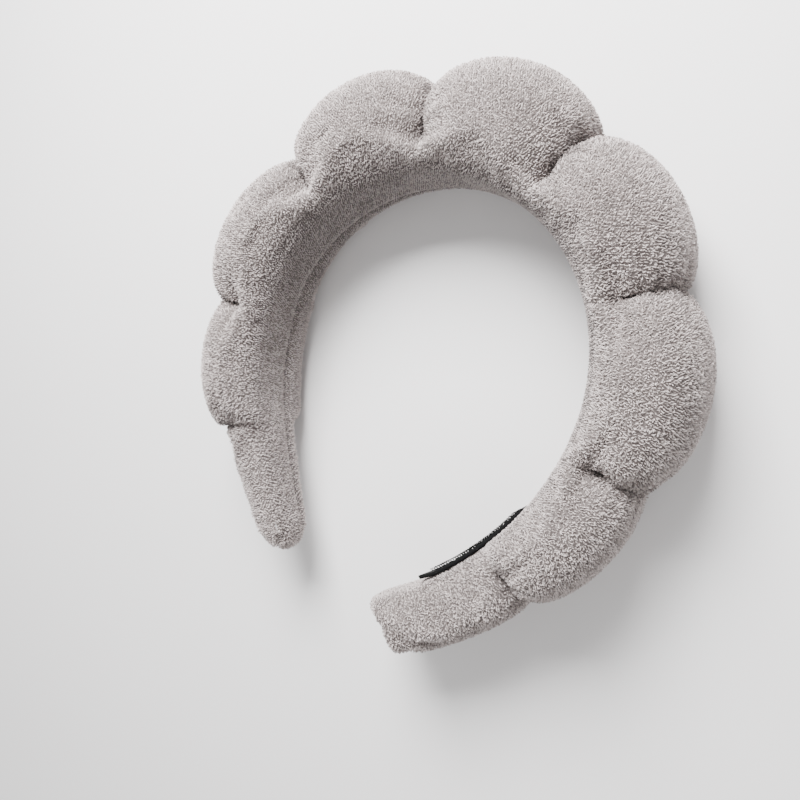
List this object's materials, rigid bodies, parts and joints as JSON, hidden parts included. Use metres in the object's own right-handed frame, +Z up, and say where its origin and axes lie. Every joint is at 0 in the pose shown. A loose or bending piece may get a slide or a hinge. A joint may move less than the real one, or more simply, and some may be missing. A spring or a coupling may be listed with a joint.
{
  "type": "puffed spa headband",
  "caption": "Open hoop headband of round puffs pinched out of a terry sleeve over foam and a springy strip, with plain tapered tails and grip tape inside.",
  "frame": {"origin": "centre of the crown's arc on the head side, on the plane that the band lies on", "axes": "+Y from the origin to the crown, -Y to the open tips; +X to the right leg; +Z up, across the band's width. The band lies on its side."},
  "size_m": [0.1756, 0.1799, 0.0445],
  "materials": {
    "terry": "looped terry knit, heathered light grey",
    "foam": "soft open-cell foam",
    "strip_plastic": "smooth moulded strip",
    "thread": "twisted sewing thread",
    "hook_tape": "woven tape with small hooks"
  },
  "bodies": {
    "crown": {"strip_crown": "strip_plastic", "foam_crown": "foam", "cover_crown": "terry", "seam_crown": "thread", "cinch_left_crown": "thread", "cinch_right_crown": "thread"},
    "left_upper": {"strip_left_upper": "strip_plastic", "foam_left_upper": "foam", "cover_left_upper": "terry", "seam_left_upper": "thread", "cinch_left_upper": "thread"},
    "left_middle": {"strip_left_middle": "strip_plastic", "foam_left_middle": "foam", "cover_left_middle": "terry", "seam_left_middle": "thread", "cinch_left_middle": "thread"},
    "left_lower": {"strip_left_lower": "strip_plastic", "foam_left_lower": "foam", "foam_left_tail": "foam", "cover_left_lower": "terry", "cover_left_tail": "terry", "seam_left_lower": "thread", "seam_left_tail": "thread", "cinch_left_lower": "thread"},
    "right_upper": {"strip_right_upper": "strip_plastic", "foam_right_upper": "foam", "cover_right_upper": "terry", "seam_right_upper": "thread", "cinch_right_upper": "thread"},
    "right_middle": {"strip_right_middle": "strip_plastic", "foam_right_middle": "foam", "cover_right_middle": "terry", "seam_right_middle": "thread", "cinch_right_middle": "thread"},
    "right_lower": {"strip_right_lower": "strip_plastic", "foam_right_lower": "foam", "foam_right_tail": "foam", "cover_right_lower": "terry", "cover_right_tail": "terry", "seam_right_lower": "thread", "seam_right_tail": "thread", "cinch_right_lower": "thread", "hook_tape": "hook_tape"}
  },
  "joints": [
    {"name": "left_upper_flex", "type": "hinge", "parent": "crown", "child": "left_upper", "pos_m": [-0.0204, 0.05728, 0.0215], "axis": [0, 0, -1], "range_deg": [-1.5, 8], "stiffness_Nm_per_rad": 2.7},
    {"name": "left_middle_flex", "type": "hinge", "parent": "left_upper", "child": "left_middle", "pos_m": [-0.04967, 0.03506, 0.0215], "axis": [0, 0, -1], "range_deg": [-1.33, 7.02], "stiffness_Nm_per_rad": 2.7},
    {"name": "left_lower_flex", "type": "hinge", "parent": "left_middle", "child": "left_lower", "pos_m": [-0.06052, -0.00725, 0.0215], "axis": [0, 0, -1], "range_deg": [-1.11, 5.82], "stiffness_Nm_per_rad": 2.7},
    {"name": "right_upper_flex", "type": "hinge", "parent": "crown", "child": "right_upper", "pos_m": [0.0204, 0.05728, 0.0215], "axis": [0, 0, 1], "range_deg": [-1.5, 8], "stiffness_Nm_per_rad": 2.7},
    {"name": "right_middle_flex", "type": "hinge", "parent": "right_upper", "child": "right_middle", "pos_m": [0.04967, 0.03506, 0.0215], "axis": [0, 0, 1], "range_deg": [-1.33, 7.02], "stiffness_Nm_per_rad": 2.7},
    {"name": "right_lower_flex", "type": "hinge", "parent": "right_middle", "child": "right_lower", "pos_m": [0.06052, -0.00725, 0.0215], "axis": [0, 0, 1], "range_deg": [-1.11, 5.82], "stiffness_Nm_per_rad": 2.7}
  ],
  "couplings": [
    {"joint": "left_middle_flex", "follows": "left_upper_flex", "ratio": 0.875},
    {"joint": "left_lower_flex", "follows": "left_upper_flex", "ratio": 0.725},
    {"joint": "right_middle_flex", "follows": "right_upper_flex", "ratio": 0.875},
    {"joint": "right_lower_flex", "follows": "right_upper_flex", "ratio": 0.725}
  ]
}
